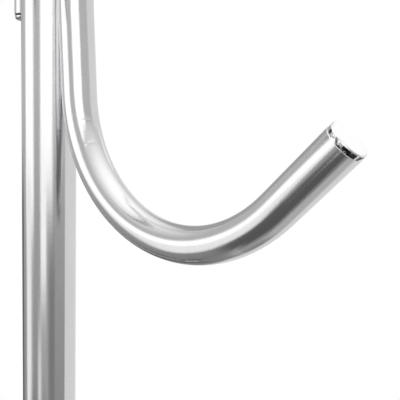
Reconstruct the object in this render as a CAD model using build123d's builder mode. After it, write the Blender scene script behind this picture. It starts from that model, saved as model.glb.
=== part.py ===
from build123d import *
from math import cos, radians, sin
import os

# Four way clothing rack, all sizes in millimetres. The origin is on the floor, on the post's axis,
# with +Z up. Two hook arms and two straight arms leave a telescopic post along X and Y.

# Tubes
post_radius = 20.0
post_wall = 2.0
hook_tube_radius = 12.5
slim_tube_radius = 9.5
arm_wall = 1.5
outer_post_wall = 1.5
sleeve_gap = 1.0

# Hook arms: a shank that leans off the post, a round hook and an upturned tip
low_hook_height = 900.0
pair_step = 200.0
kink_above_hook = 180.2
lean_angle = 4.09
lean_bend_radius = 375.0
lean_length = 54.9
hook_bend_radius = 106.3
tip_angle = 43.3
tip_length = 54.9
shank_overlap = 155.0

# Straight arms
slim_foot_above_hook = 162.0
slim_rise = 281.0
slim_bend_radius = 70.0
slim_reach = 350.0
slim_tip_bend_radius = 60.0
slim_tip_angle = 43.3
slim_tip_length = 30.0

# Tube end caps
cap_flange = 3.5
cap_inset = 0.3
cap_plug = 14.0
cap_edge_round = 0.8
slim_cap_edge_round = 2.0
tube_end_chamfer = 0.4
plug_clearance = 0.05

# Through bolts that hold each pair of arms on the post
bolt_radius = 3.0
bolt_hole_radius = 3.3
bolt_spacing = 80.0
bolt_end_margin = 34.0
saddle_radius = 7.0
saddle_crown = 1.5
head_radius = 5.25
head_height = 3.3
nut_across_flats = 10.0
nut_height = 5.0
nut_dome_radius = 4.6

# Telescopic post
post_top_above_bend = 20.0
post_bottom = 300.0
outer_post_top = 700.0
running_fit = 0.05
glide_height = 20.0
glide_flange = 6.0
top_cap_height = 6.0

# Clamp at the top of the outer post
collar_wall = 6.5
collar_below_top = 26.0
collar_above_top = 20.0
collar_slit = 3.0
bushing_flange = 2.0
bushing_flange_lip = 2.5
lug_reach = 22.0
lug_thickness = 9.0
lug_height = 30.0
knob_bolt_radius = 4.0
knob_radius = 17.0
knob_height = 16.0
knob_neck_radius = 9.0
knob_neck_height = 8.0
knob_flutes = 6
knob_flute_radius = 6.0
clamp_nut_across_flats = 13.0
clamp_nut_height = 6.5
clamp_washer_radius = 8.0
clamp_washer_height = 1.6

# Base
hub_margin = 12.5
hub_past_legs = 8.0
hub_floor = 8.0
hub_round = 5.0
ring_wall = 8.5
ring_height = 20.0
set_screw_radius = 3.0
leg_reach = 400.0
leg_width = 25.0
leg_height = 40.0
leg_wall = 2.0
leg_round = 3.0
plug_flange = 3.0
plug_depth = 14.0
leg_plug_clearance = 0.1

# Levelling feet
foot_inset = 28.0
foot_pad_radius = 19.0
foot_pad_height = 9.0
foot_neck_radius = 12.0
foot_hex_across_flats = 14.0
foot_hex_height = 5.0
foot_stud_radius = 4.0
foot_stud_showing = 6.7
foot_travel = 12.0
foot_stud_spare = 3.0
foot_nut_height = 5.0
foot_thread_fit = 0.1
foot_gap = 0.3
insert_radius = 8.0
insert_height = 12.0

# Places worked out from the sizes above
hook_arms = {"low": (0, low_hook_height), "high": (270, low_hook_height + pair_step)}
slim_arms = {"low": (180, low_hook_height), "high": (90, low_hook_height + pair_step)}
hook_axis = post_radius + hook_tube_radius
slim_axis = post_radius + slim_tube_radius
shank_top_above_hook = kink_above_hook + shank_overlap
first_bolt_above_hook = kink_above_hook + bolt_end_margin
slim_bend_above_hook = slim_foot_above_hook + slim_rise
outer_post_radius = post_radius + sleeve_gap + outer_post_wall
collar_radius = outer_post_radius + collar_wall
bushing_flange_radius = outer_post_radius + bushing_flange_lip
post_top = low_hook_height + pair_step + slim_bend_above_hook + post_top_above_bend
collar_bottom = outer_post_top - collar_below_top
collar_top = outer_post_top + collar_above_top
lug_centre_height = (collar_bottom + collar_top) / 2
lug_axis = collar_radius + lug_reach / 2
foot_nut_bottom = foot_pad_height + foot_hex_height + foot_stud_showing
foot_nut_top = foot_nut_bottom + foot_nut_height
leg_bottom = foot_nut_top + foot_gap
leg_mid_height = leg_bottom + leg_height / 2
foot_stud_length = leg_bottom + insert_height + foot_travel + foot_stud_spare - foot_pad_height
hub_side = 2 * (outer_post_radius + hub_margin)
hub_bottom = leg_bottom - hub_past_legs
hub_seat = hub_bottom + hub_floor
hub_top = leg_bottom + leg_height + hub_past_legs
ring_radius = outer_post_radius + ring_wall
foot_radius = leg_reach - foot_inset


def arm_plane(angle):
    """The upright plane of an arm: local x runs outward from the post, local y runs up."""
    outward = Vector(1, 0, 0).rotate(Axis.Z, angle)
    return Plane(origin=(0, 0, 0), x_dir=outward, z_dir=outward.cross(Vector(0, 0, 1)))


def facing_plane(angle, distance=0):
    """A plane that faces outward: local x runs sideways, local y runs up."""
    outward = Vector(1, 0, 0).rotate(Axis.Z, angle)
    return Plane(origin=outward * distance, x_dir=Vector(0, 0, 1).cross(outward), z_dir=outward)


def bolt_heights(hook_height):
    first = hook_height + first_bolt_above_hook
    return [first, first + bolt_spacing]


def drill_bolt_holes(angle, hook_height):
    """Cuts the two through bolts' clearance holes out of the part being built."""
    with BuildSketch(facing_plane(angle)) as holes:
        with Locations(*[(0, height) for height in bolt_heights(hook_height)]):
            Circle(bolt_hole_radius)
    extrude(holes.sketch, amount=post_radius + 3 * hook_tube_radius, both=True, mode=Mode.SUBTRACT)


def end_plane(path, at_end):
    """The plane across one end of a tube's centre line, facing out of the tube."""
    if at_end:
        return Plane(origin=path @ 1, z_dir=path % 1)
    return Plane(origin=path @ 0, z_dir=-(path % 0))


def tube_along(path, radius):
    """Sweeps a round tube along a centre line and eases its two outer rims."""
    with BuildSketch(Plane(origin=path @ 0, z_dir=path % 0)) as section:
        Circle(radius)
        Circle(radius - arm_wall, mode=Mode.SUBTRACT)
    sweep(section.sketch, path=path)
    for end in (path @ 0, path @ 1):
        rims = edges().filter_by(GeomType.CIRCLE).sort_by(lambda rim: (rim.center() - end).length)
        chamfer(rims[:2].sort_by(SortBy.RADIUS)[-1], tube_end_chamfer)


def end_cap(face_plane, tube_radius, edge_round):
    """A round flanged cap pressed into a tube's end."""
    with BuildSketch(face_plane) as flange:
        Circle(tube_radius - cap_inset)
    extrude(flange.sketch, amount=cap_flange)
    fillet(faces().sort_by(Axis(face_plane.origin, face_plane.z_dir))[-1].edges(), edge_round)
    with BuildSketch(face_plane) as plug:
        Circle(tube_radius - arm_wall - plug_clearance)
    extrude(plug.sketch, amount=-cap_plug)


def save(part, name):
    part.label = name
    export_step(part, f"parts/{name}.step")


os.makedirs("parts", exist_ok=True)

# Inner post, drilled for both pairs of arms
with BuildPart() as inner_post:
    with BuildSketch(Plane.XY.offset(post_bottom)):
        Circle(post_radius)
        Circle(post_radius - post_wall, mode=Mode.SUBTRACT)
    extrude(amount=post_top - post_bottom)
    for arm_angle, arm_height in hook_arms.values():
        drill_bolt_holes(arm_angle, arm_height)
save(inner_post.part, "inner_post")

# Domed cap in the top of the inner post
with BuildPart() as post_cap:
    with BuildSketch(Plane.XY.offset(post_top)):
        Circle(post_radius)
    extrude(amount=top_cap_height)
    fillet(faces().sort_by(Axis.Z)[-1].edges(), top_cap_height / 2)
    with BuildSketch(Plane.XY.offset(post_top)):
        Circle(post_radius - post_wall - plug_clearance)
    extrude(amount=-cap_plug)
save(post_cap.part, "post_cap")

# Glide on the foot of the inner post, running in the outer post
with BuildPart() as post_glide:
    with BuildSketch(Plane.XY.offset(post_bottom)):
        Circle(outer_post_radius - outer_post_wall - running_fit)
    extrude(amount=-glide_flange)
    chamfer(faces().sort_by(Axis.Z)[0].edges(), 1)
    with BuildSketch(Plane.XY.offset(post_bottom)):
        Circle(post_radius - post_wall - plug_clearance)
    extrude(amount=glide_height)
save(post_glide.part, "post_glide")

# Hook arms, each with a cap in its tip and in the top of its shank
for level, (arm_angle, arm_height) in hook_arms.items():
    with BuildLine(arm_plane(arm_angle)) as hook_line:
        shank = Line((hook_axis, arm_height + shank_top_above_hook), (hook_axis, arm_height + kink_above_hook))
        kink = JernArc(shank @ 1, shank % 1, lean_bend_radius, lean_angle)
        lean = Line(kink @ 1, kink @ 1 + (kink % 1) * lean_length)
        hook = JernArc(lean @ 1, lean % 1, hook_bend_radius, 90 + tip_angle - lean_angle)
        Line(hook @ 1, hook @ 1 + (hook % 1) * tip_length)
    hook_path = hook_line.wires()[0]
    with BuildPart() as hook_arm:
        tube_along(hook_path, hook_tube_radius)
        drill_bolt_holes(arm_angle, arm_height)
    save(hook_arm.part, f"hook_arm_{level}")
    with BuildPart() as tip_cap:
        end_cap(end_plane(hook_path, True), hook_tube_radius, cap_edge_round)
    save(tip_cap.part, f"hook_tip_cap_{level}")
    with BuildPart() as shank_cap:
        end_cap(end_plane(hook_path, False), hook_tube_radius, cap_edge_round)
    save(shank_cap.part, f"hook_shank_cap_{level}")

# Straight arms, each with a cap in its tip and in the foot of its shank
slim_tip_turn = radians(slim_tip_angle)
slim_run_end = slim_reach - slim_tip_bend_radius * sin(slim_tip_turn) - slim_tip_length * cos(slim_tip_turn)
for level, (arm_angle, arm_height) in slim_arms.items():
    with BuildLine(arm_plane(arm_angle)) as slim_line:
        riser = Line(
            (slim_axis, arm_height + slim_foot_above_hook), (slim_axis, arm_height + slim_bend_above_hook)
        )
        elbow = JernArc(riser @ 1, riser % 1, slim_bend_radius, -90)
        run = Line(elbow @ 1, elbow @ 1 + (elbow % 1) * (slim_run_end - slim_axis - slim_bend_radius))
        upturn = JernArc(run @ 1, run % 1, slim_tip_bend_radius, slim_tip_angle)
        Line(upturn @ 1, upturn @ 1 + (upturn % 1) * slim_tip_length)
    slim_path = slim_line.wires()[0]
    with BuildPart() as slim_arm:
        tube_along(slim_path, slim_tube_radius)
        drill_bolt_holes(arm_angle, arm_height)
    save(slim_arm.part, f"straight_arm_{level}")
    with BuildPart() as slim_tip_cap:
        end_cap(end_plane(slim_path, True), slim_tube_radius, slim_cap_edge_round)
    save(slim_tip_cap.part, f"straight_tip_cap_{level}")
    with BuildPart() as slim_foot_cap:
        end_cap(end_plane(slim_path, False), slim_tube_radius, slim_cap_edge_round)
    save(slim_foot_cap.part, f"straight_foot_cap_{level}")

# Saddle washers, button heads, shanks and cap nuts of the through bolts, one node of each kind
head_side = hook_axis + hook_tube_radius
nut_side = slim_axis + slim_tube_radius
with BuildPart() as saddle_washers:
    for arm_angle, arm_height in hook_arms.values():
        for face_angle, axis, radius in (
            (arm_angle, hook_axis, hook_tube_radius),
            (arm_angle + 180, slim_axis, slim_tube_radius),
        ):
            with BuildSketch(facing_plane(face_angle, axis)):
                with Locations(*[(0, height) for height in bolt_heights(arm_height)]):
                    Circle(saddle_radius)
                    Circle(bolt_hole_radius, mode=Mode.SUBTRACT)
            extrude(amount=radius + saddle_crown)
            with BuildSketch(Plane(origin=facing_plane(face_angle, axis).origin)):
                Circle(radius)
            extrude(amount=post_top, mode=Mode.SUBTRACT)
save(saddle_washers.part, "saddle_washers")

with BuildPart() as arm_bolts:
    for arm_angle, arm_height in hook_arms.values():
        places = [(0, height) for height in bolt_heights(arm_height)]
        with BuildSketch(facing_plane(arm_angle, -(nut_side + saddle_crown + nut_height))):
            with Locations(*places):
                Circle(bolt_radius)
        extrude(amount=nut_side + head_side + 2 * saddle_crown + nut_height)
        with BuildSketch(facing_plane(arm_angle, head_side + saddle_crown)):
            with Locations(*places):
                Circle(head_radius)
        extrude(amount=head_height, taper=22)
        with BuildSketch(facing_plane(arm_angle, head_side + saddle_crown + head_height)):
            with Locations(*places):
                RegularPolygon(2.0, 6, major_radius=False)
        extrude(amount=-head_height / 2, mode=Mode.SUBTRACT)
save(arm_bolts.part, "arm_bolts")

with BuildPart() as cap_nuts:
    for arm_angle, arm_height in hook_arms.values():
        places = [(0, height) for height in bolt_heights(arm_height)]
        with BuildSketch(facing_plane(arm_angle + 180, nut_side + saddle_crown)):
            with Locations(*places):
                RegularPolygon(nut_across_flats / 2, 6, major_radius=False)
                Circle(bolt_radius, mode=Mode.SUBTRACT)
        extrude(amount=nut_height)
        with BuildSketch(facing_plane(arm_angle + 180, nut_side + saddle_crown + nut_height)):
            with Locations(*places):
                Circle(nut_dome_radius)
        extrude(amount=nut_dome_radius * 0.8, taper=25)
save(cap_nuts.part, "cap_nuts")

# Outer post, standing in the hub
with BuildPart() as outer_post:
    with BuildSketch(Plane.XY.offset(hub_seat)):
        Circle(outer_post_radius)
        Circle(outer_post_radius - outer_post_wall, mode=Mode.SUBTRACT)
    extrude(amount=outer_post_top - hub_seat)
save(outer_post.part, "outer_post")

# Split clamp collar with two lugs
with BuildPart() as clamp_collar:
    with BuildSketch(Plane.XY.offset(collar_bottom)):
        Circle(collar_radius)
    extrude(amount=collar_top - collar_bottom)
    chamfer(edges().filter_by(GeomType.CIRCLE), 1.2)
    with BuildSketch(Plane.XY.offset(lug_centre_height - lug_height / 2)):
        with Locations((collar_radius + lug_reach / 2 - 3, 0)):
            Rectangle(lug_reach + 6, 2 * lug_thickness + collar_slit)
    extrude(amount=lug_height)
    lug_end = faces().filter_by(Axis.X).sort_by(Axis.X)[-1]
    fillet(lug_end.edges().filter_by(Axis.Y), 6)
    with BuildSketch(Plane.XY.offset(collar_bottom)):
        Circle(outer_post_radius)
        with Locations((collar_radius, 0)):
            Rectangle(2 * lug_reach, collar_slit)
    extrude(amount=collar_top - collar_bottom, mode=Mode.SUBTRACT)
    with BuildSketch(Plane.XZ):
        with Locations((lug_axis, lug_centre_height)):
            Circle(knob_bolt_radius + running_fit)
    extrude(amount=2 * lug_thickness, both=True, mode=Mode.SUBTRACT)
save(clamp_collar.part, "clamp_collar")

# Flanged plastic bushing that guides the inner post in the collar
with BuildPart() as guide_bushing:
    with BuildSketch(Plane.XY.offset(outer_post_top)):
        Circle(outer_post_radius)
    extrude(amount=collar_above_top)
    with BuildSketch(Plane.XY.offset(collar_top)):
        Circle(bushing_flange_radius)
    extrude(amount=bushing_flange)
    chamfer(faces().sort_by(Axis.Z)[-1].edges(), 0.6)
    with BuildSketch(Plane.XY.offset(outer_post_top)):
        Circle(post_radius + running_fit)
    extrude(amount=collar_above_top + bushing_flange, mode=Mode.SUBTRACT)
save(guide_bushing.part, "guide_bushing")

# Nut held against the far lug, and the knob with its stud
lug_face = collar_slit / 2 + lug_thickness
with BuildPart() as clamp_nut:
    with BuildSketch(Plane.XZ.offset(-lug_face)):
        with Locations((lug_axis, lug_centre_height)):
            RegularPolygon(clamp_nut_across_flats / 2, 6, major_radius=False)
            Circle(knob_bolt_radius + running_fit, mode=Mode.SUBTRACT)
    extrude(amount=-clamp_nut_height)
save(clamp_nut.part, "clamp_nut")

with BuildPart() as clamp_washer:
    with BuildSketch(Plane.XZ.offset(lug_face)):
        with Locations((lug_axis, lug_centre_height)):
            Circle(clamp_washer_radius)
            Circle(knob_bolt_radius + running_fit, mode=Mode.SUBTRACT)
    extrude(amount=clamp_washer_height)
save(clamp_washer.part, "clamp_washer")

knob_start = lug_face + clamp_washer_height + foot_gap
with BuildPart() as knob_stud:
    with BuildSketch(Plane.XZ.offset(knob_start + knob_neck_height)):
        with Locations((lug_axis, lug_centre_height)):
            Circle(knob_bolt_radius)
    extrude(amount=-(knob_start + knob_neck_height + lug_face + clamp_nut_height + 2))
    chamfer(faces().sort_by(Axis.Y)[-1].edges(), 0.8)
save(knob_stud.part, "knob_stud")

with BuildPart() as knob_grip:
    with BuildSketch(Plane.XZ.offset(knob_start)):
        with Locations((lug_axis, lug_centre_height)):
            Circle(knob_neck_radius)
    extrude(amount=knob_neck_height)
    with BuildSketch(Plane.XZ.offset(knob_start + knob_neck_height)):
        with Locations((lug_axis, lug_centre_height)):
            Circle(knob_radius)
            with PolarLocations(knob_radius + knob_flute_radius / 2, knob_flutes):
                Circle(knob_flute_radius, mode=Mode.SUBTRACT)
    extrude(amount=knob_height)
    fillet(faces().sort_by(Axis.Y)[0].edges(), 2)
    with BuildSketch(Plane.XZ.offset(knob_start)):
        with Locations((lug_axis, lug_centre_height)):
            Circle(knob_bolt_radius)
    extrude(amount=knob_neck_height, mode=Mode.SUBTRACT)
save(knob_grip.part, "knob_grip")

# Hub block that takes the outer post and the four legs
with BuildPart() as hub:
    with BuildSketch(Plane.XY.offset(hub_bottom)):
        RectangleRounded(hub_side, hub_side, hub_round)
    extrude(amount=hub_top - hub_bottom)
    chamfer(faces().sort_by(Axis.Z)[-1].edges(), 1.5)
    with BuildSketch(Plane.XY.offset(hub_seat)):
        Circle(outer_post_radius)
    extrude(amount=hub_top - hub_seat, mode=Mode.SUBTRACT)
save(hub.part, "hub")

# Ring on the hub with two set screws against the outer post
screw_height = hub_top + ring_height / 2
with BuildPart() as hub_ring:
    with BuildSketch(Plane.XY.offset(hub_top)):
        Circle(ring_radius)
    extrude(amount=ring_height)
    chamfer(faces().sort_by(Axis.Z)[-1].edges(), 1.5)
    with BuildSketch(Plane.XY.offset(hub_top)):
        Circle(outer_post_radius)
    extrude(amount=ring_height, mode=Mode.SUBTRACT)
    for screw_angle in (45, 225):
        with BuildSketch(facing_plane(screw_angle)):
            with Locations((0, screw_height)):
                Circle(set_screw_radius)
        extrude(amount=ring_radius, mode=Mode.SUBTRACT)
save(hub_ring.part, "hub_ring")

with BuildPart() as set_screws:
    for screw_angle in (45, 225):
        with BuildSketch(facing_plane(screw_angle, outer_post_radius)):
            with Locations((0, screw_height)):
                Circle(set_screw_radius)
        extrude(amount=ring_radius - outer_post_radius - 1)
        with BuildSketch(facing_plane(screw_angle, ring_radius - 1)):
            with Locations((0, screw_height)):
                RegularPolygon(1.5, 6, major_radius=False)
        extrude(amount=-3, mode=Mode.SUBTRACT)
save(set_screws.part, "set_screws")

# Four legs, each with its end plug, threaded insert and levelling foot
for number in range(1, 5):
    leg_angle = 90 * (number - 1)
    with BuildPart() as leg:
        with BuildSketch(facing_plane(leg_angle, hub_side / 2)):
            with Locations((0, leg_mid_height)):
                RectangleRounded(leg_width, leg_height, leg_round)
                RectangleRounded(
                    leg_width - 2 * leg_wall, leg_height - 2 * leg_wall, leg_round - leg_wall, mode=Mode.SUBTRACT
                )
        extrude(amount=leg_reach - hub_side / 2)
        with BuildSketch(Plane.XY.offset(leg_bottom)):
            with PolarLocations(foot_radius, 1, start_angle=leg_angle):
                Circle(insert_radius)
        extrude(amount=leg_wall, mode=Mode.SUBTRACT)
    save(leg.part, f"leg_{number}")

    with BuildPart() as leg_plug:
        with BuildSketch(facing_plane(leg_angle, leg_reach)):
            with Locations((0, leg_mid_height)):
                RectangleRounded(leg_width, leg_height, leg_round)
        extrude(amount=plug_flange)
        fillet(faces().sort_by(Axis((0, 0, 0), facing_plane(leg_angle).z_dir))[-1].edges(), 1.2)
        with BuildSketch(facing_plane(leg_angle, leg_reach)):
            with Locations((0, leg_mid_height)):
                RectangleRounded(
                    leg_width - 2 * (leg_wall + leg_plug_clearance),
                    leg_height - 2 * (leg_wall + leg_plug_clearance),
                    leg_round,
                )
        extrude(amount=-plug_depth)
    save(leg_plug.part, f"leg_plug_{number}")

    with BuildPart() as foot_insert:
        with BuildSketch(Plane.XY.offset(leg_bottom)):
            with PolarLocations(foot_radius, 1, start_angle=leg_angle):
                Circle(insert_radius)
                Circle(foot_stud_radius + foot_thread_fit, mode=Mode.SUBTRACT)
        extrude(amount=insert_height)
    save(foot_insert.part, f"foot_insert_{number}")

    with BuildPart() as foot_stud:
        with BuildSketch(Plane.XY.offset(foot_pad_height)):
            with PolarLocations(foot_radius, 1, start_angle=leg_angle):
                Circle(foot_stud_radius)
        extrude(amount=foot_stud_length)
        chamfer(faces().sort_by(Axis.Z)[-1].edges(), 0.8)
        with BuildSketch(Plane.XY.offset(foot_pad_height)):
            with PolarLocations(foot_radius, 1, start_angle=leg_angle):
                RegularPolygon(foot_hex_across_flats / 2, 6, major_radius=False)
        extrude(amount=foot_hex_height)
    save(foot_stud.part, f"foot_stud_{number}")

    with BuildPart() as foot_nut:
        with BuildSketch(Plane.XY.offset(foot_nut_bottom)):
            with PolarLocations(foot_radius, 1, start_angle=leg_angle):
                RegularPolygon(clamp_nut_across_flats / 2, 6, major_radius=False)
                Circle(foot_stud_radius, mode=Mode.SUBTRACT)
        extrude(amount=foot_nut_height)
    save(foot_nut.part, f"foot_nut_{number}")

    with BuildPart() as foot_pad:
        with BuildSketch(Plane.XY):
            with PolarLocations(foot_radius, 1, start_angle=leg_angle):
                Circle(foot_pad_radius)
        extrude(amount=foot_pad_height / 2)
        with BuildSketch(Plane.XY.offset(foot_pad_height / 2)):
            with PolarLocations(foot_radius, 1, start_angle=leg_angle):
                Circle(foot_pad_radius)
        extrude(amount=foot_pad_height / 2, taper=45)
    save(foot_pad.part, f"foot_pad_{number}")
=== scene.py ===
from math import cos, pi, radians, sin

import bmesh
import bpy
from mathutils import Matrix, Vector


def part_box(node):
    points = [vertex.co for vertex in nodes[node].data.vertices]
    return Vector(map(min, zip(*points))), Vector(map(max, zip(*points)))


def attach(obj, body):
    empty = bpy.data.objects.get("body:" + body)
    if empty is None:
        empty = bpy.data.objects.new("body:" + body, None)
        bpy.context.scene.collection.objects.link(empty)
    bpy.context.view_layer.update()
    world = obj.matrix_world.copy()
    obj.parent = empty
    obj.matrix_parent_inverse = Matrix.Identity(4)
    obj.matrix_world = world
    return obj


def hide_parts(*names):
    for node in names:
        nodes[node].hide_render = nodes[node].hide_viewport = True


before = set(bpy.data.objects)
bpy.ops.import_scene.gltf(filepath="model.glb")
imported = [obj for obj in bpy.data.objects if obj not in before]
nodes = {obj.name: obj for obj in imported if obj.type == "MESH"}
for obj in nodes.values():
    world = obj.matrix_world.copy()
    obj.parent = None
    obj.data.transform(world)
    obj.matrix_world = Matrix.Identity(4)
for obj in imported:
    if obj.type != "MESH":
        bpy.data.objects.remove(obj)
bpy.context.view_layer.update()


# The hub is a machined steel block on the floor end of the outer post. Its faces are brushed to
# a satin finish, with a pale bloom of heat tint left where the legs are welded on.
class Wire:
    """One output in a node tree. Arithmetic on it adds Math nodes."""

    def __init__(self, tree, socket=None):
        self.tree = tree
        self.socket = socket

    def node(self, kind, settings=None, inputs=None, output=0):
        """Adds a node: its settings first, then its inputs by identifier; gives one output."""
        made = self.tree.nodes.new(kind)
        for name, value in (settings or {}).items():
            if name == "stops":
                elements = made.color_ramp.elements
                while len(elements) < len(value):
                    elements.new(1)
                for element, (place, tone) in zip(elements, value):
                    element.position = place
                    element.color = (tone, tone, tone, 1)
            else:
                setattr(made, name, value)
        for name, value in (inputs or {}).items():
            matching = [s for s in made.inputs if s.identifier == name]
            socket = matching[0] if matching else made.inputs[name]
            if isinstance(value, Wire):
                self.tree.links.new(value.socket, socket)
            else:
                socket.default_value = value
        outputs = {**dict(enumerate(made.outputs)), **{s.identifier: s for s in made.outputs}}
        return Wire(self.tree, outputs.get(output))

    def maths(self, operation, *values):
        return self.node("ShaderNodeMath", {"operation": operation}, dict(enumerate(values)))

    def __add__(self, value):
        return self.maths("ADD", self, value)

    def __sub__(self, value):
        return self.maths("SUBTRACT", self, value)

    def __mul__(self, value):
        return self.maths("MULTIPLY", self, value)

    def __radd__(self, value):
        return self.maths("ADD", value, self)

    def __rsub__(self, value):
        return self.maths("SUBTRACT", value, self)

    def __rmul__(self, value):
        return self.maths("MULTIPLY", value, self)

    def smooth(self, low, high):
        """Rises softly from 0 at low to 1 at high, or falls where high is the lower one."""
        settings = {"interpolation_type": "SMOOTHSTEP"}
        inputs = {"Value": self, "From Min": low, "From Max": high}
        return self.node("ShaderNodeMapRange", settings, inputs)

    def parts(self):
        """The three numbers of a vector."""
        split = self.node("ShaderNodeSeparateXYZ", inputs={"Vector": self})
        return [Wire(self.tree, socket) for socket in split.socket.node.outputs]

    def noise(self, scale, detail=3.0):
        """Soft noise from 0 to 1 on this vector; scale is features per metre on each axis."""
        spread = self.node("ShaderNodeMapping", inputs={"Vector": self, "Scale": scale})
        inputs = {"Vector": spread, "Scale": 1.0, "Detail": detail}
        return self.node("ShaderNodeTexNoise", inputs=inputs)

    def colour(self, low, high):
        """The colour that goes from low to high as this goes from 0 to 1."""
        inputs = {"Factor_Float": self, "A_Color": low, "B_Color": high}
        for name, value in inputs.items():
            if isinstance(value, tuple):
                inputs[name] = (*value, 1)
        return self.node("ShaderNodeMix", {"data_type": "RGBA"}, inputs, "Result_Color")

    def relief(self, depth):
        """A Bump node's normal, with this as the height, 0 to 1, over a depth in metres."""
        inputs = {"Height": self, "Strength": 1.0, "Distance": depth}
        return self.node("ShaderNodeBump", inputs=inputs)


def finish(name, recipe, fixed):
    """A Principled material: fixed socket values, and what the recipe makes from object space."""
    material = bpy.data.materials.new(name)
    material.use_nodes = True
    tree = material.node_tree
    tree.nodes.clear()
    shader = tree.nodes.new("ShaderNodeBsdfPrincipled")
    output = tree.nodes.new("ShaderNodeOutputMaterial")
    tree.links.new(shader.outputs["BSDF"], output.inputs["Surface"])
    place = Wire(tree).node("ShaderNodeTexCoord", output="Object")
    for key, value in {**fixed, **recipe(place)}.items():
        socket = shader.inputs[key]
        if isinstance(value, Wire):
            tree.links.new(value.socket, socket)
        else:
            socket.default_value = value
    return material


def wear(material, *names):
    """Puts a finish on CAD nodes."""
    for name in names:
        nodes[name].material_slots[0].material = material


METAL = {"Metallic": 1.0}
STEEL = (0.74, 0.74, 0.75)
STEEL_SHADE = (0.66, 0.66, 0.675)
STRAW_TINT = (0.60, 0.53, 0.42)
HUB_GRAIN = (900, 900, 30)
BRUSH_DEPTH = 0.00004
HEAT_BESIDE = 0.012
HEAT_REACH = 0.007
hub_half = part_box("hub")[1].x
leg_low, leg_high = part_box("leg_1")
leg_middle = (leg_low.z + leg_high.z) / 2


def brushed(grain, tinted):
    """A recipe for brushed steel; grain is line scale per metre, tinted picks the weld's heat."""

    def recipe(place):
        lines = place.noise(grain, 4)
        smears = place.noise((14, 14, 20), 2)
        heat = tinted(place) * (0.55 + 0.45 * place.noise((160, 160, 160), 2))
        clean = smears.colour(STEEL_SHADE, STEEL)
        return {
            "Base Color": (heat * 0.6).colour(clean, STRAW_TINT),
            "Roughness": 0.17 + 0.12 * lines + 0.06 * smears + 0.10 * heat,
            "Normal": lines.relief(BRUSH_DEPTH),
        }

    return recipe


def heat_round_welds(place):
    """1 on the legs' welds, fading out along the legs and over the hub's faces."""
    x, y, z = place.parts()
    x, y = x.maths("ABSOLUTE", x), y.maths("ABSOLUTE", y)
    height = z.maths("ABSOLUTE", z - leg_middle)
    along = x.maths("ABSOLUTE", x.maths("MAXIMUM", x, y) - hub_half)
    beside = x.maths("MINIMUM", x, y) - leg_high.y
    outline = x.maths("ABSOLUTE", x.maths("MAXIMUM", beside, height - (leg_high.z - leg_middle)))
    return along.smooth(HEAT_BESIDE, 0.0) * outline.smooth(HEAT_REACH, 0.0)


hub_finish = finish("brushed_hub", brushed(HUB_GRAIN, heat_round_welds), METAL)
wear(hub_finish, "hub")


# Four legs of rectangular steel tube stand out from the hub's faces, brushed along their length.
# Each is welded to the hub all round with a rippled bead.
BEAD_RADIUS = 0.0019
BEAD_PITCH = 0.0015
BEAD_SIDES = 10
BEAD_TROUGH = 0.8
BEAD_DULL = (0.46, 0.44, 0.42)
BEAD_BRIGHT = (0.68, 0.67, 0.66)
BEAD_RELIEF = 0.00008
LEG_CORNER = 0.003
LEG_GRAIN_X = (18, 1100, 1100)
LEG_GRAIN_Y = (1100, 18, 1100)
SHARP_ANGLE = radians(50)
WELD_GAP = 1e-6

legs_along_x = finish("brushed_leg_x", brushed(LEG_GRAIN_X, heat_round_welds), METAL)
legs_along_y = finish("brushed_leg_y", brushed(LEG_GRAIN_Y, heat_round_welds), METAL)
wear(legs_along_x, "leg_1", "leg_3")
wear(legs_along_y, "leg_2", "leg_4")


def weld_metal(place):
    ripple = place.noise((500, 500, 500), 2)
    return {
        "Base Color": ripple.colour(BEAD_DULL, BEAD_BRIGHT),
        "Roughness": 0.24 + 0.2 * ripple,
        "Normal": ripple.relief(BEAD_RELIEF),
    }


weld_finish = finish("weld_bead", weld_metal, METAL)


def as_piece(name, bm, material, body):
    """Turns a bmesh into a smooth piece that rides on a body."""
    bmesh.ops.remove_doubles(bm, verts=bm.verts, dist=WELD_GAP)
    bmesh.ops.recalc_face_normals(bm, faces=bm.faces)
    mesh = bpy.data.meshes.new(name)
    bm.to_mesh(mesh)
    bm.free()
    mesh.materials.append(material)
    mesh.shade_smooth()
    mesh.set_sharp_from_angle(angle=SHARP_ANGLE)
    piece = bpy.data.objects.new(name, mesh)
    bpy.context.scene.collection.objects.link(piece)
    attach(piece, body)
    return piece


def lay_bead(bm, start, moves):
    """Lays a closed weld bead from a start matrix: each move is a step forward and a turn."""
    place, rings = start, []
    for number, (step, turn) in enumerate(moves):
        place = place @ Matrix.Translation((0, 0, step)) @ Matrix.Rotation(turn, 4, "X")
        ripple = BEAD_RADIUS * (1.0 if number % 2 else BEAD_TROUGH)
        ring = bmesh.ops.create_circle(bm, segments=BEAD_SIDES, radius=ripple, matrix=place)
        rings.append(list({edge for vert in ring["verts"] for edge in vert.link_edges}))
    for ring, following in zip(rings, rings[1:] + rings[:1]):
        bmesh.ops.bridge_loops(bm, edges=ring + following)


half_leg = (leg_high.z - leg_low.z) / 2 - LEG_CORNER
half_width = leg_high.y - LEG_CORNER
round_leg = []
for half_side in (half_leg, half_width, half_leg, half_width):
    count = 2 * round(half_side / BEAD_PITCH)
    round_leg += [(2 * half_side / count, 0)] * count
    round_leg += [(LEG_CORNER * pi / 8, pi / 8)] * 4
leg_weld = bmesh.new()
for quarter in range(4):
    start = Matrix.Rotation(quarter * pi / 2, 4, "Z") @ Matrix.Translation(
        (hub_half, leg_high.y, leg_middle - half_leg)
    )
    lay_bead(leg_weld, start, round_leg)
as_piece("leg_welds", leg_weld, weld_finish, "base")


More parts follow.
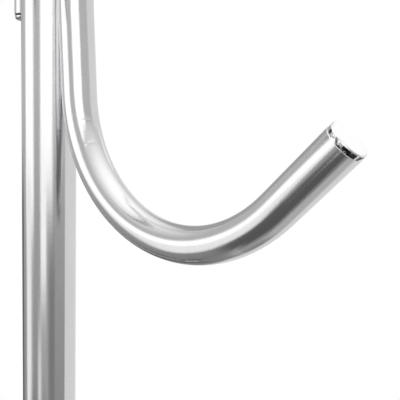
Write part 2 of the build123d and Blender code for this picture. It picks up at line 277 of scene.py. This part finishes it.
# A moulded black plug closes the outer end of each leg. The levelling foot is screwed up into a
# plated insert near it: a rubber pad on a hexagon base, a threaded stud and a lock nut.
BLACK_PLASTIC = (0.022, 0.022, 0.024)
RUBBED_PLASTIC = (0.046, 0.046, 0.048)
MOULD_RELIEF = 0.00006


def moulded(place):
    grain = place.noise((1400, 1400, 1400), 3)
    cloud = place.noise((45, 45, 45), 3)
    return {
        "Base Color": cloud.colour(BLACK_PLASTIC, RUBBED_PLASTIC),
        "Roughness": 0.42 + 0.16 * cloud + 0.08 * grain,
        "Normal": grain.relief(MOULD_RELIEF),
    }


plastic = finish("moulded_black", moulded, {"Specular IOR Level": 0.45})
feet = range(1, 5)
wear(plastic, *[f"leg_plug_{foot}" for foot in feet])

PLATING_DULL = (0.68, 0.675, 0.66)
PLATING_BRIGHT = (0.80, 0.80, 0.81)
PLATING_RELIEF = 0.00003


def plated(place):
    bloom = place.noise((90, 90, 90), 3)
    marks = place.noise((1300, 1300, 500), 3)
    return {
        "Base Color": bloom.colour(PLATING_DULL, PLATING_BRIGHT),
        "Roughness": 0.16 + 0.14 * bloom + 0.08 * marks,
        "Normal": marks.relief(PLATING_RELIEF),
    }


plating = finish("bright_plating", plated, METAL)
wear(plating, *[f"foot_{piece}_{foot}" for foot in feet for piece in ("insert", "nut")])

RUBBER = (0.028, 0.028, 0.029)
FLOOR_DUST = (0.16, 0.155, 0.15)
DUST_HEIGHT = 0.008
RUBBER_RELIEF = 0.00012


def worn_rubber(place):
    _, _, height = place.parts()
    speckle = place.noise((700, 700, 700), 3)
    scuff = place.noise((120, 120, 60), 4).smooth(0.5, 0.72)
    dust = height.smooth(DUST_HEIGHT, 0.0) * (0.35 + 0.65 * scuff)
    return {
        "Base Color": dust.colour(RUBBER, FLOOR_DUST),
        "Roughness": 0.66 + 0.2 * dust + 0.08 * speckle,
        "Normal": speckle.relief(RUBBER_RELIEF),
    }


rubber = finish("foot_rubber_worn", worn_rubber, {"Specular IOR Level": 0.3})
wear(rubber, *[f"foot_pad_{foot}" for foot in feet])

PITCH = 0.00125
THREAD_DEPTH = 0.0007
THREAD_STEPS = 24
THREAD_GAP = 2e-6
CREST_START, CREST_END, ROOT_START = 0.45, 0.55, 0.95
STUD_RADIUS = 0.004
HEX_ACROSS_FLATS = 0.014
HEX_HEIGHT = 0.005
HEX_EASED = 0.0004


def cut_thread(bm, radius, low, high):
    """A threaded rod on the Z axis: the teeth's profile is turned once while it lifts a pitch."""
    root = radius - THREAD_DEPTH
    shape = ((radius, CREST_START), (radius, CREST_END), (root, ROOT_START), (root, 1.0))
    profile = [bm.verts.new((root, 0, low))]
    for tooth in range(int((high - low) / PITCH) - 1):
        for reach, lift in shape:
            profile.append(bm.verts.new((reach, 0, low + (tooth + lift) * PITCH)))
    edges = [bm.edges.new(pair) for pair in zip(profile, profile[1:])]
    lift = Vector((0, 0, PITCH / THREAD_STEPS))
    bmesh.ops.spin(
        bm,
        geom=profile + edges,
        cent=(0, 0, 0),
        axis=(0, 0, 1),
        dvec=lift,
        angle=2 * pi,
        steps=THREAD_STEPS,
    )
    bmesh.ops.remove_doubles(bm, verts=bm.verts, dist=THREAD_GAP)
    bmesh.ops.holes_fill(bm, edges=[edge for edge in bm.edges if edge.is_boundary], sides=0)


def hexagon(bm, across_flats, low, high):
    """A hexagon block on the Z axis with eased edges."""
    block = bmesh.ops.create_cone(
        bm,
        cap_ends=True,
        segments=6,
        radius1=across_flats / 2 / cos(pi / 6),
        radius2=across_flats / 2 / cos(pi / 6),
        depth=high - low,
        matrix=Matrix.Translation((0, 0, (low + high) / 2)),
    )["verts"]
    bmesh.ops.bevel(
        bm,
        geom=list({edge for vert in block for edge in vert.link_edges}),
        offset=HEX_EASED,
        segments=3,
        profile=0.5,
        affect="EDGES",
        material=-1,
    )


for foot in feet:
    stud_low, stud_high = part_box(f"foot_stud_{foot}")
    stud = bmesh.new()
    cut_thread(stud, STUD_RADIUS, stud_low.z + HEX_HEIGHT / 2, stud_high.z)
    hexagon(stud, HEX_ACROSS_FLATS, stud_low.z, stud_low.z + HEX_HEIGHT)
    middle = (stud_low + stud_high) / 2
    bmesh.ops.translate(stud, vec=(middle.x, middle.y, 0), verts=stud.verts)
    threaded = as_piece(f"threaded_stud_{foot}", stud, plating, f"foot_{foot}")
    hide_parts(f"foot_stud_{foot}")


# The outer post is drawn round steel tube, polished round its girth. It stands in the hub, held
# by a welded ring with two black set screws.
TUBE = (0.80, 0.80, 0.805)
TUBE_SHADE = (0.70, 0.70, 0.71)
POLISH_DEPTH = 0.00002
PUCKER_LENGTH = 0.0013
PUCKER_WIDTH = 0.0040
PUCKER_HEIGHT = 4.0


def pucker(along, dent_along, dent_side):
    """A short low ridge across the tube, 1 at its middle."""
    run, side, _ = along.parts()
    length = (run - dent_along) * (1 / PUCKER_LENGTH)
    width = (side - dent_side) * (1 / PUCKER_WIDTH)
    return length.maths("EXPONENT", -1 * (length * length + width * width))


def polished(run, dents=()):
    """A recipe for polished tube; run gives metres along the tube and across it as a vector."""

    def recipe(place):
        along = run(place)
        belt = along.noise((2400, 70, 70), 4)
        band = along.noise((26, 90, 90), 3)
        mottle = along.noise((420, 1200, 1200), 3)
        wave = along.noise((120, 220, 220), 2)
        handled = place.noise((30, 30, 9), 3).smooth(0.42, 0.75)
        height = 0.2 * belt + 1.2 * mottle + 0.5 * wave
        for dent_along, dent_side in dents:
            height = height + PUCKER_HEIGHT * pucker(along, dent_along, dent_side)
        return {
            "Base Color": (1.2 * mottle + 0.6 * band - 0.4).colour(TUBE_SHADE, TUBE),
            "Roughness": 0.10 + 0.05 * belt + 0.03 * band + 0.05 * handled,
            "Normal": height.relief(POLISH_DEPTH),
        }

    return recipe


def upright(place):
    """Height first, then the two directions across the tube."""
    x, y, z = place.parts()
    return place.node("ShaderNodeCombineXYZ", inputs={"X": z, "Y": x, "Z": y})


post_finish = finish("polished_post", polished(upright), METAL)
wear(post_finish, "outer_post")
wear(hub_finish, "hub_ring")

BLACK_OXIDE = (0.035, 0.035, 0.038)
RUBBED_OXIDE = (0.12, 0.118, 0.115)
OXIDE_RELIEF = 0.00003


def blackened(place):
    worn = place.noise((900, 900, 900), 3).smooth(0.45, 0.8)
    return {
        "Base Color": worn.colour(BLACK_OXIDE, RUBBED_OXIDE),
        "Roughness": 0.34 + 0.2 * worn,
        "Normal": worn.relief(OXIDE_RELIEF),
    }


wear(finish("black_oxide", blackened, {"Metallic": 0.7}), "set_screws")

ring_low, ring_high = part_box("hub_ring")
RING_STEPS = 2 * round(2 * pi * ring_high.x / BEAD_PITCH / 2)
round_ring = [(2 * pi * ring_high.x / RING_STEPS, 2 * pi / RING_STEPS)] * RING_STEPS
heading_round = Matrix(((0, 1, 0), (0, 0, 1), (1, 0, 0))).to_4x4()
ring_weld = bmesh.new()
lay_bead(ring_weld, Matrix.Translation((ring_high.x, 0, ring_low.z)) @ heading_round, round_ring)
as_piece("ring_weld", ring_weld, weld_finish, "base")


# The clamp is a split steel collar round the top of the outer post, lined with a flanged plastic
# bushing. A lobed knob on a plated stud pulls its two lugs together.
COLLAR_GRAIN = (60, 60, 1500)


def unheated(place):
    """0 everywhere, because the collar isn't welded."""
    return 0 * place.parts()[0]


wear(finish("brushed_collar", brushed(COLLAR_GRAIN, unheated), METAL), "clamp_collar")
wear(plastic, "guide_bushing", "knob_grip")
wear(plating, "clamp_nut", "clamp_washer")

knob_low, knob_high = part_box("knob_stud")
knob_middle = (knob_low + knob_high) / 2
knob_stud = bmesh.new()
cut_thread(knob_stud, STUD_RADIUS, 0, knob_high.y - knob_low.y)
across_lugs = Matrix.Rotation(-pi / 2, 4, "X")
laid = Matrix.Translation((knob_middle.x, knob_low.y, knob_middle.z)) @ across_lugs
bmesh.ops.transform(knob_stud, matrix=laid, verts=knob_stud.verts)
threaded = as_piece("threaded_knob_stud", knob_stud, plating, "knob")
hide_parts("knob_stud")


# The inner post slides in the outer one on a plastic glide, and a low domed cap closes its top.
# Its tube is the same polished steel, and the cap is chromed.
wear(post_finish, "inner_post")
wear(plastic, "post_glide")

CHROME = (0.86, 0.86, 0.87)
# The dark colour of the painted reflections on the caps' rims.
PAINTED_REFLECTION_DARK = (0.05, 0.05, 0.055)
REFLECTION_PATCH_GRAIN = (170, 170, 170)
RIM_BLEND = 0.0004
PEEL_DEPTH = 0.0005
DOME_SHARE = 0.8


def chromed(cap, axis, dome):
    """A recipe for a chromed cap: bright within a dome's depth of its face; on its rim, dark
    patches are painted into the colour as painted reflections.
    """
    face = max(vertex.co.dot(axis) for vertex in nodes[cap].data.vertices)

    def recipe(place):
        inputs = {"Vector": place, "Vector_001": axis}
        height = place.node("ShaderNodeVectorMath", {"operation": "DOT_PRODUCT"}, inputs, "Value")
        rim = (face - height).smooth(dome, dome + RIM_BLEND)
        swirl = place.noise((60, 60, 60), 3)
        peel = place.noise((380, 380, 380), 2)
        # Painted reflection: noise patches on the rim darken the chrome's base colour, standing
        # in for a dark room mirrored in it.
        painted_reflection = rim * place.noise(REFLECTION_PATCH_GRAIN, 1).smooth(0.44, 0.52)
        return {
            "Base Color": (1 - painted_reflection).colour(PAINTED_REFLECTION_DARK, CHROME),
            "Roughness": 0.03 + 0.05 * swirl,
            "Normal": (peel * (0.05 + rim)).relief(PEEL_DEPTH),
        }

    return recipe


def plate_cap(cap, axis, dome):
    """Gives one cap its own chrome, with its rim where the cap's is."""
    wear(finish(f"chrome_{cap}", chromed(cap, Vector(axis), dome), METAL), cap)


post_cap_low, post_cap_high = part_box("post_cap")
plate_cap("post_cap", (0, 0, 1), DOME_SHARE * (post_cap_high.z - post_cap_low.z))


# Two hook arms of bent polished tube point forwards and to the side, one pair-step apart. The
# bending has left two shallow puckers inside the start of the low hook. Chromed caps close the
# ends.
HOOK_AXIS = 0.0325
LEAN_RADIUS = 0.375
LEAN_ANGLE = radians(4.09)
LEAN_LENGTH = 0.0549
HOOK_RADIUS = 0.1063
TIP_ANGLE = radians(43.3)
CAP_EDGE = 0.0005
LOW_HOOK = 0.900
HIGH_HOOK = 1.100
PUCKERS = ((-0.1362, -0.0055), (-0.1169, -0.0055))

kink_out = HOOK_AXIS + LEAN_RADIUS * (1 - cos(LEAN_ANGLE))
lean_out = kink_out + LEAN_LENGTH * sin(LEAN_ANGLE)
hook_centre_out = lean_out + HOOK_RADIUS * cos(LEAN_ANGLE)


def hook_run(heading, hook_height):
    """Metres along a hook arm's tube, measured from the bottom of its hook."""

    def run(place):
        x, y, z = place.parts()
        out = x * cos(heading) + y * sin(heading) - hook_centre_out
        side = y * cos(heading) - x * sin(heading)
        up = z - (hook_height + HOOK_RADIUS)
        turn = out.maths("ARCTAN2", out, -1 * up)
        bend = turn.maths("MAXIMUM", turn.maths("MINIMUM", turn, TIP_ANGLE), LEAN_ANGLE - pi / 2)
        tip = out * cos(TIP_ANGLE) + up * sin(TIP_ANGLE)
        shank = up.maths("MAXIMUM", up, 0) * turn.smooth(0.0, -0.1)
        along = HOOK_RADIUS * bend + tip.maths("MAXIMUM", tip, 0) * turn.smooth(0.0, 0.1) - shank
        return place.node("ShaderNodeCombineXYZ", inputs={"X": along, "Y": side, "Z": out})

    return run


hook_finish = finish("polished_low_hook", polished(hook_run(0, LOW_HOOK), PUCKERS), METAL)
high_hook_finish = finish("polished_high_hook", polished(hook_run(-pi / 2, HIGH_HOOK)), METAL)
wear(hook_finish, "hook_arm_low")
wear(high_hook_finish, "hook_arm_high")
plate_cap("hook_tip_cap_low", (cos(TIP_ANGLE), 0, sin(TIP_ANGLE)), CAP_EDGE)
plate_cap("hook_tip_cap_high", (0, -cos(TIP_ANGLE), sin(TIP_ANGLE)), CAP_EDGE)
for level in ("low", "high"):
    plate_cap(f"hook_shank_cap_{level}", (0, 0, 1), CAP_EDGE)


# Two slim straight arms stand behind the posts' other two sides, opposite the hook arms. Each
# rises against the post, bends level and turns up at its capped tip.
SLIM_TIP_ANGLE = radians(43.3)
SLIM_CAP_EDGE = 0.0020

slim_finish = finish("polished_slim", polished(upright), METAL)
wear(slim_finish, "straight_arm_low", "straight_arm_high")
for level, north in (("low", 0), ("high", 1)):
    out, up = cos(SLIM_TIP_ANGLE), sin(SLIM_TIP_ANGLE)
    plate_cap(f"straight_tip_cap_{level}", ((north - 1) * out, north * out, up), SLIM_CAP_EDGE)
    plate_cap(f"straight_foot_cap_{level}", (0, 0, -1), SLIM_CAP_EDGE)


# Plated button-head bolts pass through each pair of arms and the post between them, with saddle
# washers against the tubes and domed nuts on the slim side.
wear(plating, "arm_bolts", "cap_nuts", "saddle_washers")


# The studio floor is a pale matt disc under the rack. It fades to a glowing white at its edge, so
# it meets the backdrop without a line, and the steel doesn't mirror it.
FLOOR_RADIUS = 1.45
FLOOR_SIDES = 96
FLOOR_PAINT = (0.9, 0.9, 0.9, 1)
FADE_START = 0.5
FADE_END = 1.35
GLOW_SHARE = 0.4

floor_mesh = bmesh.new()
bmesh.ops.create_circle(floor_mesh, cap_ends=True, segments=FLOOR_SIDES, radius=FLOOR_RADIUS)
floor_data = bpy.data.meshes.new("floor")
floor_mesh.to_mesh(floor_data)
floor_mesh.free()
floor = bpy.data.objects.new("floor", floor_data)
bpy.context.scene.collection.objects.link(floor)
floor.visible_glossy = False

floor_paint = bpy.data.materials.new("pale_floor")
floor_paint.use_nodes = True
tree = floor_paint.node_tree
tree.nodes.clear()
ground = Wire(tree).node("ShaderNodeTexCoord", output="Object")
east, north, _ = ground.parts()
distance = east.maths("SQRT", east * east + north * north)
matt = ground.node("ShaderNodeBsdfDiffuse", inputs={"Color": FLOOR_PAINT})
white = ground.node("ShaderNodeEmission", inputs={"Color": (1, 1, 1, 1), "Strength": 1.0})
share = distance.smooth(FADE_START, FADE_END) * (1 - GLOW_SHARE) + GLOW_SHARE
mixed = {"Fac": share, "Shader": matt, "Shader_001": white}
blend = ground.node("ShaderNodeMixShader", inputs=mixed)
ground.node("ShaderNodeOutputMaterial", inputs={"Surface": blend})
floor_data.materials.append(floor_paint)


# The room that the steel mirrors, a glow by height and soft panels round it. Each panel has its
# bearing and half width, its lowest and highest elevation, all in degrees, and its brightness.
GLOW = (
    (-90, 0.34),
    (-60, 0.24),
    (-30, 0.31),
    (-8, 0.42),
    (6, 0.58),
    (28, 0.56),
    (46, 0.90),
    (62, 1.20),
    (75, 1.35),
    (90, 1.35),
)
GLOW_TOP = 1.5
PANELS = (
    ("dim back", 150, 25, 8, 40, 0.42),
    ("left softbox", -125.5, 22.5, -8, 17, 1.42),
    ("left softbox foot", -128, 17, -32, -2, 1.05),
    ("key softbox", -46, 25.5, -5, 34, 1.45),
    ("key softbox foot", -59, 12, -17, 0, 1.20),
    ("key skirt", -57, 15, -30, -15, 0.45),
    ("dark floor", -86, 39, -74, -26, 0.11),
    ("low strip", -77, 7, -36, -18, 0.90),
    ("right wall", 84, 48, -60, 32, 0.81),
    ("floor patch", 30, 50, -82, -56, 0.52),
    ("far strip", 130, 6, -24, 10, 0.92),
    ("dark flag behind", 168, 18, -60, -3, 0.14),
    ("low shade", -24, 12, -45, -10, 0.24),
    ("ceiling lamp", 90, 9, 22, 36, 1.13),
)
PANEL_EDGE = 9

world = bpy.data.worlds.new("studio")
bpy.context.scene.world = world
world.use_nodes = True
tree = world.node_tree
tree.nodes.clear()
sight = Wire(tree).node("ShaderNodeTexCoord", output="Generated")
east, north, lift = sight.parts()
bearing = east.maths("DEGREES", east.maths("ARCTAN2", north, east))
elevation = lift.maths("DEGREES", lift.maths("ARCSINE", lift))
stops = [((angle + 90) / 180, level / GLOW_TOP) for angle, level in GLOW]
share = (elevation + 90) * (1 / 180)
light = elevation.node("ShaderNodeValToRGB", {"stops": stops}, {"Fac": share}) * GLOW_TOP
for _, middle, half, low, high, level in PANELS:
    offset = bearing.maths("ABSOLUTE", bearing.maths("WRAP", bearing - middle, 180, -180))
    across = offset.smooth(half + PANEL_EDGE / 2, half - PANEL_EDGE / 2)
    up = elevation.maths("ABSOLUTE", elevation - (low + high) / 2)
    reach = (high - low) / 2
    inside = across * up.smooth(reach + PANEL_EDGE / 2, reach - PANEL_EDGE / 2)
    light = light * (1 - inside) + level * inside
seen = sight.node("ShaderNodeLightPath", output="Is Camera Ray")
light = light * (1 - seen) + seen
room = sight.node("ShaderNodeBackground", inputs={"Color": light, "Strength": 1.0})
sight.node("ShaderNodeOutputWorld", inputs={"Surface": room})
bpy.context.scene.view_settings.view_transform = "Standard"


# The camera stands a forearm's length from the low hook, level with the middle of its bend. It
# looks slightly down across the post, and is held a little out of level.
CAMERA_PLACE = (0.3862, -0.2563, 0.9614)
CAMERA_BEARING = radians(125.56)
CAMERA_DOWN = radians(5.12)
CAMERA_ROLL = radians(1.92)
CAMERA_LENS = 49.607
CAMERA_SHIFT = -0.1467
CAMERA_SENSOR = 36
CAMERA_NEAR = 0.01

camera_data = bpy.data.cameras.new("camera")
camera_data.sensor_width = CAMERA_SENSOR
camera_data.lens = CAMERA_LENS
camera_data.shift_x = CAMERA_SHIFT
camera_data.clip_start = CAMERA_NEAR
camera = bpy.data.objects.new("camera", camera_data)
bpy.context.scene.collection.objects.link(camera)
ahead = Vector((cos(CAMERA_BEARING), sin(CAMERA_BEARING), 0))
forward = ahead * cos(CAMERA_DOWN) - Vector((0, 0, sin(CAMERA_DOWN)))
side = Vector((sin(CAMERA_BEARING), -cos(CAMERA_BEARING), 0))
above = side.cross(forward)
right = side * cos(CAMERA_ROLL) + above * sin(CAMERA_ROLL)
top = above * cos(CAMERA_ROLL) - side * sin(CAMERA_ROLL)
turned = Matrix((right, top, -forward)).transposed().to_4x4()
camera.matrix_world = Matrix.Translation(CAMERA_PLACE) @ turned
bpy.context.scene.camera = camera
